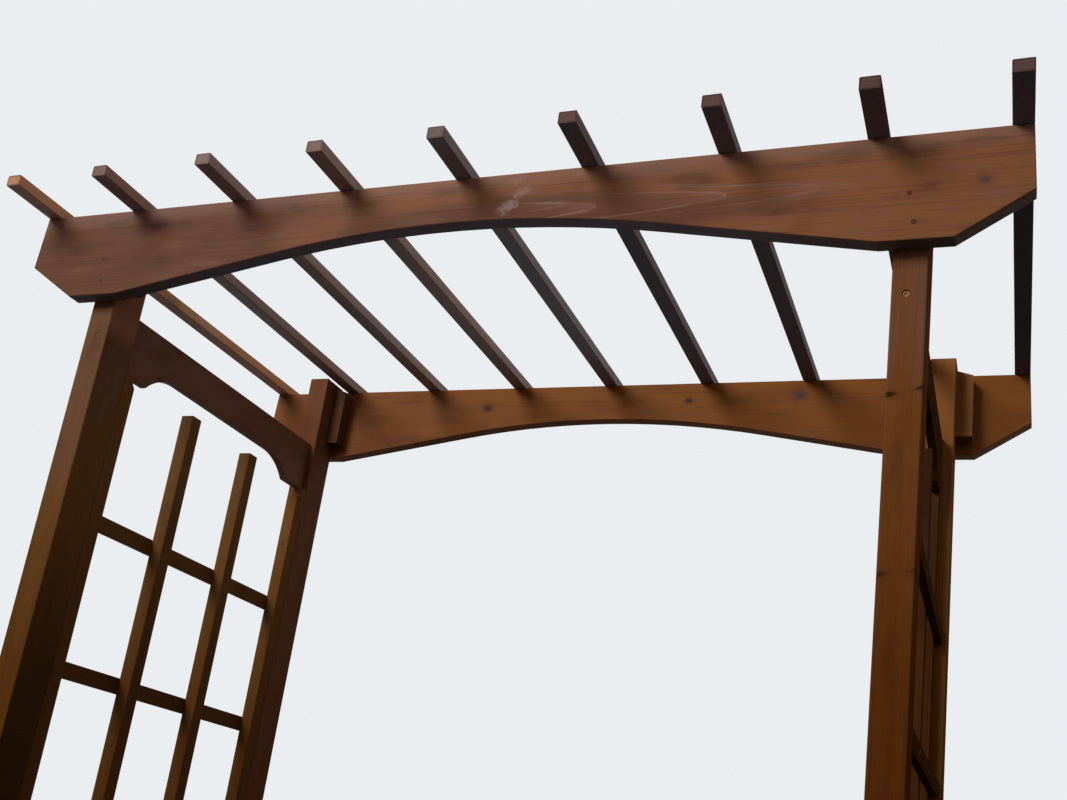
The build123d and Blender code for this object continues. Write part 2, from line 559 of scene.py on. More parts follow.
@dataclass(frozen=True)
class Smear:
    """A broken smear on a beam's front between two points: dried resin, or dirt where it is dark.

    Crowd is how many lumps it has to the metre, and ragged how far they break its edge.
    """

    start: tuple[float, float]
    end: tuple[float, float]
    width: float
    colour: Colour
    strength: float
    crowd: float = 95.0
    ragged: float = 2.6

    def lay(self, cut: "Cut") -> None:
        """Lay the smear.

        Args:
            cut: The finish so far.
        """
        (x0, z0), (x1, z1) = self.start, self.end
        span = math.hypot(x1 - x0, z1 - z0)
        ux, uz = (x1 - x0) / span, (z1 - z0) / span
        dx = cut.spots["X"] - x0
        dz = cut.spots["Z"] - z0
        run = dx * ux + dz * uz
        off = abs(dz * ux - dx * uz)
        ends = run.lesser(0.0) * -1.0 + (run - span).greater(0.0)
        reach = (off * off + ends * ends).root() / self.width
        place = cut.graph.vector(cut.spots["X"] * self.crowd, 0.0, cut.spots["Z"] * self.crowd)
        cloud = cut.graph.noise(place, detail=3.0)
        mask = (reach + (cloud - 0.5) * self.ragged + (cut.mottle - 0.5) * 0.8).fall(0.15, 1.0)
        front = cut.facing["Y"].fall(-0.7, -0.3)
        cut.lay(mask * front * self.strength, self.colour)


@dataclass(frozen=True)
class Weather:
    """Painted shade and light, and weathering, on the stain: the heights between which a change sets in, and
    its colours.

    The foot is where the coat's own foot colour shows as painted shade, with the span over which the
    coat also turns warmer lower down. The side spans and colours are painted shade low on a post's
    +X face and painted light at its top. The underside colours are painted bluish-grey sky light,
    paler near a timber's middle. The bleached band is counted down from the top edge.
    """

    # Painted shade: the heights over which the lower part darkens and turns warmer.
    foot: Span = (1.05, 2.05)
    warm_shade_span: Span = (1.50, 2.05)
    # Painted shade low on a post's +X face, and painted light at its top.
    side_shade_span: Span = (0.90, 1.58)
    side_light_span: Span = (2.04, 2.11)
    side_shade_colour: Colour = (0.20, 0.26, 0.40)
    side_light_colour: Colour = (0.420, 0.165, 0.095)
    end_rim: Colour = (0.040, 0.019, 0.014)
    # Painted sky light on the undersides: a bluish grey, paler near the middle.
    underside_far: Colour = (0.066, 0.054, 0.048)
    underside_near: Colour = (0.215, 0.184, 0.216)
    bleached_band: Span = (0.055, 0.005)
    bleached: Colour = (0.300, 0.172, 0.142)
    upper_face: Colour = (0.150, 0.098, 0.070)


@dataclass
class Cut:
    """What the layers of a timber's finish work on: places, colour and height as built up so far."""

    graph: ShaderGraph
    low: Vector
    high: Vector
    spots: dict[str, Value]
    facing: dict[str, Value]
    along: Value
    across: Value
    through: Value
    mottle: Value | None = None
    foot_shade: Value | None = None
    wide_face: Value | None = None
    colour: Value | None = None
    height: Value | None = None

    def cloud(self, stretch: float, crowd: float, shift: float = 0.0, detail: float = 2.0) -> Value:
        """Noise from 0 to 1, with stretch lumps to the metre along the fibres and crowd across them."""
        place = (self.along * stretch + shift, self.across * crowd, self.through * crowd)
        return self.graph.noise(self.graph.vector(*place), detail=detail)

    def lay(self, share: Any, over: Any) -> None:
        """Lay a colour over what is there."""
        self.colour = self.graph.blend(share, self.colour, over)

    def tint(self, factor: Any) -> None:
        """Multiply what is there by a colour."""
        self.colour = self.graph.blend(1.0, self.colour, factor, "MULTIPLY")


@dataclass(frozen=True)
class SoftwoodFinish:
    """Stained softwood, worked out through the whole timber so that each face shows its own cut.

    Lean turns the stain warmer along the timber from lean_start on. Wander is how far the rings
    drift in metres. The underside share is painted bluish-grey sky light, paler within its reach of
    the middle. Bleach pales the top edge. The side share is painted shade low on the +X face and
    painted light at its top.
    """

    grain: Grain
    coat: Coat
    growth: Growth
    knots: tuple[Knot, ...] = ()
    flames: tuple[Flame, ...] = ()
    spikes: tuple[SpikeKnot, ...] = ()
    smears: tuple[Smear, ...] = ()
    ring_contrast: float = 0.42
    patchiness: float = 0.55
    lean: float = 0.0
    lean_start: float = 0.0
    wander: float = 0.010
    roughness: float = 0.58
    shine: float = 0.10
    # Painted sky light on the underside, and its reach from the middle.
    underside_light: float = 0.0
    underside_light_reach: float = 2.0
    bleach: float = 0.0
    # Painted shade low on the +X face, and painted light at its top.
    side_light_and_shade: float = 0.0
    weather: Weather = Weather()

    def dress(self, node: str) -> None:
        """Give a node of the frame this finish.

        Args:
            node: The node's name.
        """
        material, graph = new_material(f"{node}_wood")
        self.build(graph, *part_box(node))
        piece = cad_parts[node]
        piece.data.materials.clear()
        piece.data.materials.append(material)
        log.info("%s: %s stain, %d knots", node, self.coat.name.lower(), len(self.knots))

    def build(self, graph: ShaderGraph, low: Vector, high: Vector) -> None:
        """Build the whole shader.

        Args:
            graph: The material's empty graph.
            low: The timber's lowest corner.
            high: Its highest corner.
        """
        stain = self.coat.value
        place = graph.node("ShaderNodeTexCoord", {}, {}, "Object")
        facing = graph.split(place.output("Normal"))
        spots = graph.split(place)
        cut = Cut(graph, low, high, spots, facing, *(spots[axis] for axis in self.grain.value))
        cut.mottle = cut.cloud(34.0, 70.0, detail=3.0)
        # Painted shade on the lower part.
        cut.foot_shade = spots["Z"].fall(*self.weather.foot)
        cut.wide_face = abs(facing[self.grain.value[2]]).rise(0.6, 0.9)
        late = self.grow_rings(cut)
        streak = self.brush_stain(cut, stain, late)
        for mark in (*self.flames, *self.knots, *self.spikes, *self.smears):
            mark.lay(cut)
        end_face, weathered = self.age(cut, stain, streak)

        gloss = self.roughness + (streak - 0.5) * 0.22 + (cut.mottle - 0.5) * 0.14
        gloss = gloss + end_face * 0.20 + weathered * 0.25
        shader = {"Base Color": cut.colour, "Roughness": gloss, "Specular IOR Level": self.shine}
        graph.skin(shader, cut.height, strength=0.55, depth=0.0007)

    def grow_rings(self, cut: Cut) -> Value:
        """Lay the log's rings through the timber.

        Args:
            cut: The finish so far.

        Returns:
            How much latewood shows at each point.
        """
        grown = self.growth
        drift = cut.cloud(1.3, 9.0, detail=1.0)
        drift_through = cut.cloud(1.3, 9.0, shift=7.3, detail=1.0)
        bent = cut.across + (drift - 0.5) * self.wander
        for knot in self.knots:
            bent = knot.bow(cut.along, bent)
        centre = dict(zip("XYZ", (cut.low + cut.high) / 2))
        middle_along, middle_across, middle_through = (centre[axis] for axis in self.grain.value)
        down = cut.along - middle_along
        side = bent - (middle_across + grown.pith_across) - down * grown.slope_across
        inward = cut.through + (drift_through - 0.5) * self.wander
        inward = inward - (middle_through + grown.pith_through) - down * grown.slope_through
        radius = (side * side + inward * inward).root()
        uneven = cut.graph.noise(cut.graph.vector(radius * 70.0, 0.0, 0.0), detail=1.0)
        years = radius / grown.ring + uneven * 1.6
        season = years.fraction()
        vigour = cut.graph.chance(years.floor())
        return season.rise(0.55, 0.90) * season.fall(0.92, 1.0) * (0.15 + vigour * vigour * 0.85)

    def brush_stain(self, cut: Cut, stain: Stain, late: Value) -> Value:
        """Lay the stain over the rings: warm and deep patches, brush streaks and fine fibres.

        Args:
            cut: The finish so far.
            stain: The coat's colours.
            late: How much latewood shows.

        Returns:
            The brush streaks, from 0 to 1.
        """
        graph = cut.graph
        tone = cut.cloud(1.3, 6.5, shift=2.0, detail=2.5) + (cut.along - self.lean_start) * self.lean
        # With painted shade at the foot, the coat turns warmer lower down too.
        if stain.foot != WHITE:
            tone = tone + (cut.spots["Z"].fall(*self.weather.warm_shade_span) - 0.35) * 0.28
        patch = cut.cloud(4.6, 15.0, shift=5.0, detail=3.0)
        streak = cut.cloud(2.6, 95.0, detail=3.0)
        pores = cut.cloud(3.2, 230.0, shift=1.0, detail=1.0)
        fibre = cut.cloud(9.0, 620.0)
        cut.colour = graph.blend(tone.rise(0.40, 0.60), stain.body, stain.warm)
        cut.lay(patch.rise(0.50, 0.74) * self.patchiness, stain.deep)
        cut.lay(patch.fall(0.26, 0.46) * self.patchiness * 0.75, stain.thin)
        cut.lay(late * tone.rise(0.28, 0.62) * self.ring_contrast, stain.ring)
        cut.lay(streak.rise(0.54, 0.76) * 0.27, stain.thin)
        cut.lay(streak.fall(0.26, 0.46) * 0.27, stain.deep)
        cut.lay(pores.fall(0.26, 0.38) * 0.45, stain.deep)
        shade = 0.82 + fibre * 0.22 + cut.mottle * 0.14
        cut.tint(graph.vector(shade, shade, shade))
        cut.height = late * 0.30 + fibre * 0.45 + cut.mottle * 0.25 - pores.fall(0.26, 0.38) * 0.5
        return streak

    def age(self, cut: Cut, stain: Stain, streak: Value) -> tuple[Value, Value]:
        """Wear the edges, darken the sawn ends, paint light and shade on the foot, +X side and undersides,
        and bleach the tops.

        Args:
            cut: The finish so far.
            stain: The coat's colours.
            streak: The brush streaks.

        Returns:
            Where the sawn ends are, and how weathered the tops are.
        """
        weather, height = self.weather, cut.spots["Z"]
        edge = self.edge_distance(cut)
        worn = (edge + (cut.mottle - 0.5) * 0.010).fall(0.0005, 0.0045)
        cut.lay(worn * 0.26, stain.thin)
        end_face = abs(cut.facing[self.grain.value[0]]).rise(0.55, 0.85)
        cut.lay(end_face * (0.50 + streak * 0.35), stain.sawn or stain.deep)
        rim = end_face * (edge + (cut.mottle - 0.5) * 0.004).fall(0.001, 0.006)
        cut.lay(rim * 0.55, weather.end_rim)
        # Painted shade: the lower part is multiplied by the coat's foot colour.
        cut.tint(cut.graph.blend(cut.foot_shade, WHITE, stain.foot))
        # Painted shade low on the +X face, and painted light at its top.
        if self.side_light_and_shade:
            inner = cut.facing["X"].rise(0.6, 0.9) * self.side_light_and_shade
            cut.tint(cut.graph.blend(inner * height.fall(*weather.side_shade_span), WHITE, weather.side_shade_colour))
            cut.lay(inner * height.rise(*weather.side_light_span) * 0.9, weather.side_light_colour)
        # Painted sky light: a bluish grey on the undersides, paler near the middle.
        if self.underside_light:
            underside = cut.facing["Z"].fall(-0.92, -0.55) * (0.7 + cut.mottle * 0.6)
            near = abs(cut.along).fall(self.underside_light_reach * 0.6, self.underside_light_reach)
            painted_sky = cut.graph.blend(near, weather.underside_far, weather.underside_near)
            cut.lay(underside * self.underside_light, painted_sky)
        if self.bleach:
            band = (cut.high.z - drop for drop in weather.bleached_band)
            cut.lay(height.rise(*band) * (0.5 + streak) * self.bleach, weather.bleached)
        weathered = cut.facing["Z"].rise(0.6, 0.95) * (0.25 + streak * 0.35)
        cut.lay(weathered, weather.upper_face)
        return end_face, weathered

    @staticmethod
    def edge_distance(cut: Cut) -> Value:
        """Find how near each point of the surface is to an edge of the timber's box.

        Args:
            cut: The finish so far.

        Returns:
            The distance in metres, which is the middle one of those to the box's three pairs of faces.
        """
        gaps = []
        for axis, lowest, highest in zip("XYZ", cut.low, cut.high):
            half = (highest - lowest) / 2
            gaps.append(half - abs(cut.spots[axis] - (lowest + highest) / 2))
        nearest = gaps[0].lesser(gaps[1])
        farther = gaps[0].greater(gaps[1])
        return nearest.greater(farther.lesser(gaps[2]))


@dataclass(frozen=True)
class ZincFinish:
    """Yellow zinc on screw heads, brushed over with stain.

    Bare is the part of the noise, from 0 to 1, over which the stain sets in, and cover how thick it
    is. Crowd is how many lumps the noise has to the metre.
    """

    zinc: Colour = (0.30, 0.20, 0.07)
    stained: Colour = (0.090, 0.038, 0.018)
    bare: Span = (0.02, 0.22)
    roughness: float = 0.55
    cover: float = 1.0
    metal: float = 0.5
    shine: float = 0.1
    crowd: float = 260.0

    def make(self, name: str) -> bpy.types.Material:
        """Build the material.

        Args:
            name: Its name.

        Returns:
            The material.
        """
        material, graph = new_material(name)
        cloud = graph.speckle(self.crowd)
        film = cloud.rise(*self.bare) * self.cover
        shader = {
            "Base Color": graph.blend(film, self.zinc, self.stained),
            "Metallic": (1.0 - film) * self.metal,
            "Roughness": self.roughness + film * 0.25,
            "Specular IOR Level": self.shine,
        }
        graph.skin(shader, cloud, strength=0.4, depth=0.0003)
        return material


@dataclass(frozen=True)
class CountersinkFinish:
    """The crushed wood round a sunk screw head, dark with stain that gathered there."""

    colour: Colour = (0.050, 0.021, 0.012)
    lit: Colour = (0.100, 0.040, 0.019)
    roughness: float = 0.55
    shine: float = 0.1
    crowd: float = 340.0

    def make(self, name: str) -> bpy.types.Material:
        """Build the material.

        Args:
            name: Its name.

        Returns:
            The material.
        """
        material, graph = new_material(name)
        cloud = graph.speckle(self.crowd)
        shader = {
            "Base Color": graph.blend(cloud.rise(0.4, 0.7), self.colour, self.lit),
            "Roughness": self.roughness + (cloud - 0.5) * 0.3,
            "Specular IOR Level": self.shine,
        }
        graph.skin(shader, cloud, strength=0.5, depth=0.0004)
        return material


@dataclass
class Screws:
    """A joined set of like screws: sunk heads with a cross recess, each in its dark countersink.

    The rim, flat, recess and recess_depth are shares of the head's radius, the dish is a share of
    how proud the head stands, and the recess's pattern gives the shape of one arm of the cross.
    """

    name: str
    head_radius: float
    proud: float = 0.25 * MM
    skirt: float = 0.8 * MM
    segments: int = 24
    rim: float = 0.10
    dish: float = 0.6
    flat: float = 0.30
    recess: float = 0.55
    recess_pattern: tuple[float, ...] = (1.0, 1.035, 0.56, 0.396, 0.56, 1.035)
    recess_depth: float = 0.45
    recess_taper: float = 0.72
    collar: float = 1.3
    collar_lift: float = 0.06 * MM
    collar_skirt: float = 0.5 * MM
    finish: ZincFinish = ZincFinish()
    seat: CountersinkFinish = CountersinkFinish()

    def build(self, places: Iterable[Matrix]) -> None:
        """Make every screw and join them into one piece.

        Args:
            places: Where each head sits, its Z axis pointing out of the wood.
        """
        places = list(places)
        head = self.head()
        joined = bmesh.new()
        for place in places:
            known = len(joined.verts)
            joined.from_mesh(head)
            joined.verts.ensure_lookup_table()
            bmesh.ops.transform(joined, matrix=place, verts=joined.verts[known:])
        mesh = finished_mesh(self.name, joined)
        mesh.materials.append(self.finish.make(f"{self.name}_zinc"))
        mesh.materials.append(self.seat.make(f"{self.name}_countersink"))
        piece = put_in_scene(self.name, mesh)
        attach(piece, BODY)
        log.info("%s: %d screws, %d faces", self.name, len(places), len(mesh.polygons))

    def head(self) -> bpy.types.Mesh:
        """Model one head round the origin, its top facing +Z.

        Returns:
            The head's mesh, with the countersink in its second material.
        """
        shape = bmesh.new()
        radius = self.head_radius
        rim = bmesh.ops.create_circle(shape, cap_ends=True, segments=self.segments, radius=radius)
        bmesh.ops.translate(shape, verts=rim["verts"], vec=(0.0, 0.0, self.proud))
        self.add_skirt(shape, shape.edges, self.proud + self.skirt)
        top = max(shape.faces, key=lambda face: len(face.verts))
        bmesh.ops.inset_region(shape, faces=[top], thickness=radius * self.rim, depth=self.proud * self.dish)
        bmesh.ops.inset_region(shape, faces=[top], thickness=radius * self.flat)
        for vert in top.verts:
            angle = math.atan2(vert.co.y, vert.co.x)
            step = round(angle / (math.tau / self.segments)) % len(self.recess_pattern)
            reach = radius * self.recess * self.recess_pattern[step]
            vert.co.xy = Vector((math.cos(angle), math.sin(angle))) * reach
        sunk = bmesh.ops.extrude_face_region(shape, geom=[top])
        floor = [item for item in sunk["geom"] if isinstance(item, bmesh.types.BMVert)]
        bmesh.ops.delete(shape, geom=[top], context="FACES_ONLY")
        bmesh.ops.translate(shape, verts=floor, vec=(0.0, 0.0, -radius * self.recess_depth))
        bmesh.ops.scale(shape, verts=floor, vec=(self.recess_taper, self.recess_taper, 1.0))
        self.add_collar(shape)
        bmesh.ops.recalc_face_normals(shape, faces=list(shape.faces))
        # Extruding lists its faces in a chance order, so they are put in order by their corners.
        shape.verts.index_update()
        count = len(shape.verts)
        shape.faces.sort(key=lambda face: face.verts[0].index * count + face.verts[1].index)
        return finished_mesh(f"{self.name}_head", shape)

    def add_collar(self, shape: bmesh.types.BMesh) -> None:
        """Lay the thin dark ring of the countersink round the head.

        Args:
            shape: The head.
        """
        known = set(shape.faces)
        radius = self.head_radius * self.collar
        ring = bmesh.ops.create_circle(shape, cap_ends=True, segments=self.segments, radius=radius)
        bmesh.ops.translate(shape, verts=ring["verts"], vec=(0.0, 0.0, self.collar_lift))
        face = next(item for item in shape.faces if item not in known)
        self.add_skirt(shape, face.edges, self.collar_skirt)
        for item in shape.faces:
            if item not in known:
                item.material_index = 1

    @staticmethod
    def add_skirt(shape: bmesh.types.BMesh, edges: Iterable[bmesh.types.BMEdge], depth: float) -> None:
        """Draw a rim's edges down into the wood.

        Args:
            shape: The shape that the edges belong to.
            edges: The edges of the rim.
            depth: How far they go down.
        """
        skirt = bmesh.ops.extrude_edge_only(shape, edges=list(edges))
        foot = [item for item in skirt["geom"] if isinstance(item, bmesh.types.BMVert)]
        bmesh.ops.translate(shape, verts=foot, vec=(0.0, 0.0, -depth))


def facing(point: Iterable[float], normal: Iterable[float], turn: float = 0.0) -> Matrix:
    """A place on a face, with the piece's Z axis out of the wood, turned by that many radians."""
    out = Vector(normal).to_track_quat("Z", "Y").to_matrix().to_4x4()
    return Matrix.Translation(Vector(point)) @ out @ Matrix.Rotation(turn, 4, "Z")


def scattered(draw: random.Random, point: Vector, normal: Vector, slack: float = 3.0 * MM) -> Matrix:
    """A place as a hand drill finds it: a little off its mark and turned by chance."""
    off = Vector([draw.uniform(-slack, slack) * (1.0 - abs(part)) for part in normal])
    return facing(point + off, normal, draw.uniform(0.0, math.tau))


def corners() -> Iterable[tuple[str, str, float]]:
    """Each corner's end and side, and the way out along Y at that end."""
    return ((end_name, side_name, end) for end_name, end in ENDS.items() for side_name in SIDES)


def on_face(node: str, normal: Vector) -> Vector:
    """The middle of the face of a node's box that looks that way along an axis."""
    low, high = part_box(node)
    return Vector([(a + b + way * (b - a)) / 2 for a, b, way in zip(low, high, normal)])


class SubAssembly:
    """Pieces of the pergola that are made and finished alike.

    The seed starts their streams of chance, and each timber gets a number of stray knots between
    the two in knot_count, with a radius between the two in knot_radius.
    """

    seed: str = ""
    knot_count: tuple[int, int] = (0, 0)
    knot_radius: Span = (0.0, 0.0)

    def build(self) -> None:
        """Dress the nodes and add the fixings."""
        raise NotImplementedError

    def draw(self, node: str) -> random.Random:
        """A fixed stream of chance for one node."""
        return random.Random(f"{self.seed} {node}")

    def stray_knots(self, draw: random.Random, node: str, grain: Grain) -> tuple[Knot, ...]:
        """Knots drawn by chance over a timber's shown face.

        Args:
            draw: The stream of chance.
            node: The timber's node.
            grain: Which way its fibres run.

        Returns:
            The knots.
        """
        low, high = (dict(zip("XYZ", corner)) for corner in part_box(node))
        along, across, _ = grain.value
        return tuple(
            Knot(
                along=draw.uniform(low[along], high[along]),
                across=draw.uniform(low[across], high[across]),
                radius=draw.uniform(*self.knot_radius),
                kind=draw.choice((KnotKind.RED, KnotKind.RED, KnotKind.DARK)),
            )
            for _ in range(draw.randint(*self.knot_count))
        )

    def dress(self, node: str, grain: Grain, coat: Coat, **look: Any) -> None:
        """Finish a timber with knots and growth drawn by chance.

        Args:
            node: The timber's node.
            grain: Which way its fibres run.
            coat: Its stain.
            look: What else is set on its finish.
        """
        draw = self.draw(node)
        drawn = {"knots": self.stray_knots(draw, node, grain), "growth": Growth.drawn(draw)}
        SoftwoodFinish(grain, coat, **(drawn | look)).dress(node)


@dataclass
class LongBeams(SubAssembly):
    """The two arched beams, with two screws into each post."""

    seed: str = "long beams"
    screw_radius: float = 4.5 * MM
    screw_heights: Span = (2.262, 2.194)
    screw_steps: Span = (-4.0 * MM, 5.0 * MM)
    front_growth: Growth = Growth(0.0155, 0.070, 0.0, 0.016, 0.0062)
    back_growth: Growth = Growth(0.004, 0.085, 0.0015, 0.014, 0.0046)
    front_knots: tuple[Knot, ...] = (
        Knot(-0.865, 2.348, 0.016, KnotKind.RED),
        Knot(0.128, 2.316, 0.006, KnotKind.PALE),
        Knot(1.160, 2.281, 0.0075, KnotKind.BLUE),
    )
    back_knots: tuple[Knot, ...] = (
        Knot(0.605, 2.352, 0.013, KnotKind.BLUE),
        Knot(0.265, 2.341, 0.007, KnotKind.DARK),
        Knot(-0.420, 2.330, 0.009, KnotKind.RED),
    )
    front_flames: tuple[Flame, ...] = (
        Flame(0.340, 2.293, 0.90, length=0.22),
        Flame(0.635, 2.293, 0.75),
        Flame(0.830, 2.292, 0.60),
        Flame(0.262, 2.306, 0.55, 0.0018, 0.12),
    )
    front_smears: tuple[Smear, ...] = (
        Smear((0.116, 2.304), (0.140, 2.322), 0.020, (0.330, 0.215, 0.190), 0.55),
        Smear((0.146, 2.340), (0.166, 2.352), 0.016, (0.330, 0.215, 0.190), 0.45),
        Smear((0.136, 2.378), (0.150, 2.388), 0.013, (0.300, 0.185, 0.160), 0.35),
        Smear((-1.035, 2.366), (-0.955, 2.376), 0.014, (0.045, 0.028, 0.026), 0.45),
    )

    def build(self) -> None:
        """Dress both beams and screw them to the posts."""
        front = SoftwoodFinish(
            Grain.BEAM,
            Coat.RED,
            self.front_growth,
            self.front_knots,
            self.front_flames,
            smears=self.front_smears,
            ring_contrast=0.48,
            patchiness=0.8,
            lean=0.26,
            lean_start=0.15,
            shine=0.09,
            # Painted sky light under the beam, paler near its middle.
            underside_light=0.75,
            underside_light_reach=1.0,
            bleach=0.34,
        )
        front.dress("beam_front")
        back = SoftwoodFinish(Grain.BEAM, Coat.ORANGE, self.back_growth, self.back_knots, shine=0.08)
        back.dress("beam_back")
        Screws("beam_screws", self.screw_radius).build(self.screw_places())

    def screw_places(self) -> Iterable[Matrix]:
        """Yield two places on each beam's outer face over each post.

        Returns:
            The places.
        """
        draw = self.draw("screws")
        for end_name, side_name, end in corners():
            normal = Vector((0.0, end, 0.0))
            outer = on_face(f"beam_{end_name}", normal).y
            middle = on_face(f"post_{end_name}_{side_name}", normal).x
            for height, step in zip(self.screw_heights, self.screw_steps):
                yield scattered(draw, Vector((middle + step, outer, height)), normal)


@dataclass
class Posts(SubAssembly):
    """The four posts, with two sunk fixings each that hold the end of a side beam."""

    seed: str = "posts"
    knot_count: tuple[int, int] = (1, 3)
    knot_radius: Span = (5.0 * MM, 11.0 * MM)
    fixing_radius: float = 7.2 * MM
    fixing_collar: float = 1.05
    fixing_slack: float = 0.3 * MM
    fixing_drops: Span = (25.0 * MM, 106.0 * MM)
    bare_fixing: tuple[str, int] = ("post_front_right", 1)
    bare_sink: float = 3.0 * MM
    bare_finish: ZincFinish = ZincFinish(
        (0.36, 0.21, 0.07), (0.180, 0.080, 0.030), (0.36, 0.64), roughness=0.50, cover=0.85
    )
    stained_sink: float = 1.2 * MM
    stained_finish: ZincFinish = ZincFinish(stained=(0.165, 0.072, 0.034))
    stained_seat: CountersinkFinish = CountersinkFinish((0.090, 0.038, 0.018), (0.150, 0.064, 0.030))
    shines: dict[str, float] = field(default_factory=lambda: {"left": 0.03, "right": 0.0})
    # post_back_right's lighter coat is painted light.
    coats: dict[str, Coat] = field(
        default_factory=lambda: {
            "post_front_left": Coat.NUT,
            "post_front_right": Coat.AMBER,
            "post_back_right": Coat.TAN_LIT,
        }
    )
    spikes: dict[str, tuple[SpikeKnot, ...]] = field(
        default_factory=lambda: {"post_front_right": (SpikeKnot(1.838, 1.852), SpikeKnot(1.474, 1.482, 0.55))}
    )
    # Painted shade low on this post's +X face, and painted light at its top.
    side_light_and_shade: dict[str, float] = field(default_factory=lambda: {"post_front_left": 0.75})

    def build(self) -> None:
        """Dress the posts and set their fixings."""
        for end_name, side_name, _ in corners():
            node = f"post_{end_name}_{side_name}"
            look = {"side_light_and_shade": self.side_light_and_shade.get(node, 0.0), "shine": self.shines[side_name]}
            if node in self.spikes:
                look |= {"spikes": self.spikes[node], "knots": ()}
            self.dress(node, Grain.POST, self.coats.get(node, Coat.RUSSET), **look)
        places = self.fixing_places()
        bare = [places.pop(self.bare_fixing)]
        size = {"head_radius": self.fixing_radius, "collar": self.fixing_collar}
        Screws("bare_fixing", finish=self.bare_finish, **size).build(bare)
        stained = Screws("stained_fixings", finish=self.stained_finish, seat=self.stained_seat, **size)
        stained.build(places.values())

    def fixing_places(self) -> dict[tuple[str, int], Matrix]:
        """Find the places in the posts' sunk holes, in line with the side beams.

        Returns:
            The places, by post and number.
        """
        draw = self.draw("fixings")
        places = {}
        for end_name, side_name, end in corners():
            node = f"post_{end_name}_{side_name}"
            normal = Vector((0.0, end, 0.0))
            face = on_face(node, normal).y
            top = on_face(f"side_beam_{side_name}", UP)
            for number, drop in enumerate(self.fixing_drops):
                sink = self.bare_sink if (node, number) == self.bare_fixing else self.stained_sink
                mark = Vector((top.x, face - end * sink, top.z - drop))
                places[node, number] = scattered(draw, mark, normal, slack=self.fixing_slack)
        return places


@dataclass
class SideBeams(SubAssembly):
    """The coved beam on each side; the right one is darker with painted shade."""

    seed: str = "side beams"
    knot_count: tuple[int, int] = (1, 2)
    knot_radius: Span = (5.0 * MM, 9.0 * MM)
    # The right one's coat is painted shade.
    looks: dict[str, tuple[Coat, float]] = field(
        default_factory=lambda: {"left": (Coat.RUSSET, 0.12), "right": (Coat.PEAT_SHADED, 0.0)}
    )
    patchiness: float = 0.9

    def build(self) -> None:
        """Dress both side beams."""
        for side_name, (coat, shine) in self.looks.items():
            look = {"patchiness": self.patchiness, "shine": shine}
            self.dress(f"side_beam_{side_name}", Grain.SIDE_BEAM, coat, **look)


@dataclass
class Trellis(SubAssembly):
    """Stiles, slats and rails on each side, with a screw at every crossing."""

    seed: str = "trellis"
    knot_count: tuple[int, int] = (0, 1)
    knot_radius: Span = (4.0 * MM, 7.0 * MM)
    roughness: float = 0.68
    # The right side's coat is painted shade.
    looks: dict[str, tuple[Coat, float]] = field(
        default_factory=lambda: {"left": (Coat.UMBER, 0.04), "right": (Coat.PEAT_SHADED, 0.0)}
    )
    screw_radius: float = 3.5 * MM
    stile_screw_radius: float = 4.0 * MM
    stile_screw_heights: tuple[float, ...] = (0.230, 1.010, 1.800)
    slat_count: int = 2
    rail_count: int = 4

    def build(self) -> None:
        """Dress every strip and screw the trellis together."""
        for side_name in SIDES:
            coat, shine = self.looks[side_name]
            look = {"roughness": self.roughness, "shine": shine}
            for node in self.uprights(side_name):
                self.dress(node, Grain.UPRIGHT, coat, **look)
            for node in self.rails(side_name):
                self.dress(node, Grain.SIDE_BEAM, coat, **look)
        Screws("trellis_screws", self.screw_radius).build(self.crossings())
        Screws("stile_screws", self.stile_screw_radius).build(self.stile_places())

    def uprights(self, side_name: str) -> list[str]:
        """The nodes that stand on one side."""
        stiles = [f"trellis_stile_{end_name}_{side_name}" for end_name in ENDS]
        return stiles + [f"trellis_slat_{side_name}_{number + 1}" for number in range(self.slat_count)]

    def rails(self, side_name: str) -> list[str]:
        """The nodes that lie across them."""
        return [f"trellis_rail_{side_name}_{number + 1}" for number in range(self.rail_count)]

    def crossings(self) -> Iterable[Matrix]:
        """Yield a place on each rail's outer face over each upright.

        Returns:
            The places.
        """
        draw = self.draw("crossings")
        for side_name, side in SIDES.items():
            normal = Vector((side, 0.0, 0.0))
            for upright in self.uprights(side_name):
                for rail in self.rails(side_name):
                    mark = on_face(rail, normal)
                    mark.y = on_face(upright, normal).y
                    yield scattered(draw, mark, normal)

    def stile_places(self) -> Iterable[Matrix]:
        """Yield places on the free side of each stile.

        Returns:
            The places.
        """
        draw = self.draw("stiles")
        for side_name in SIDES:
            for end_name, end in ENDS.items():
                normal = Vector((0.0, -end, 0.0))
                mark = on_face(f"trellis_stile_{end_name}_{side_name}", normal)
                for height in self.stile_screw_heights:
                    mark.z = height
                    yield scattered(draw, mark, normal)


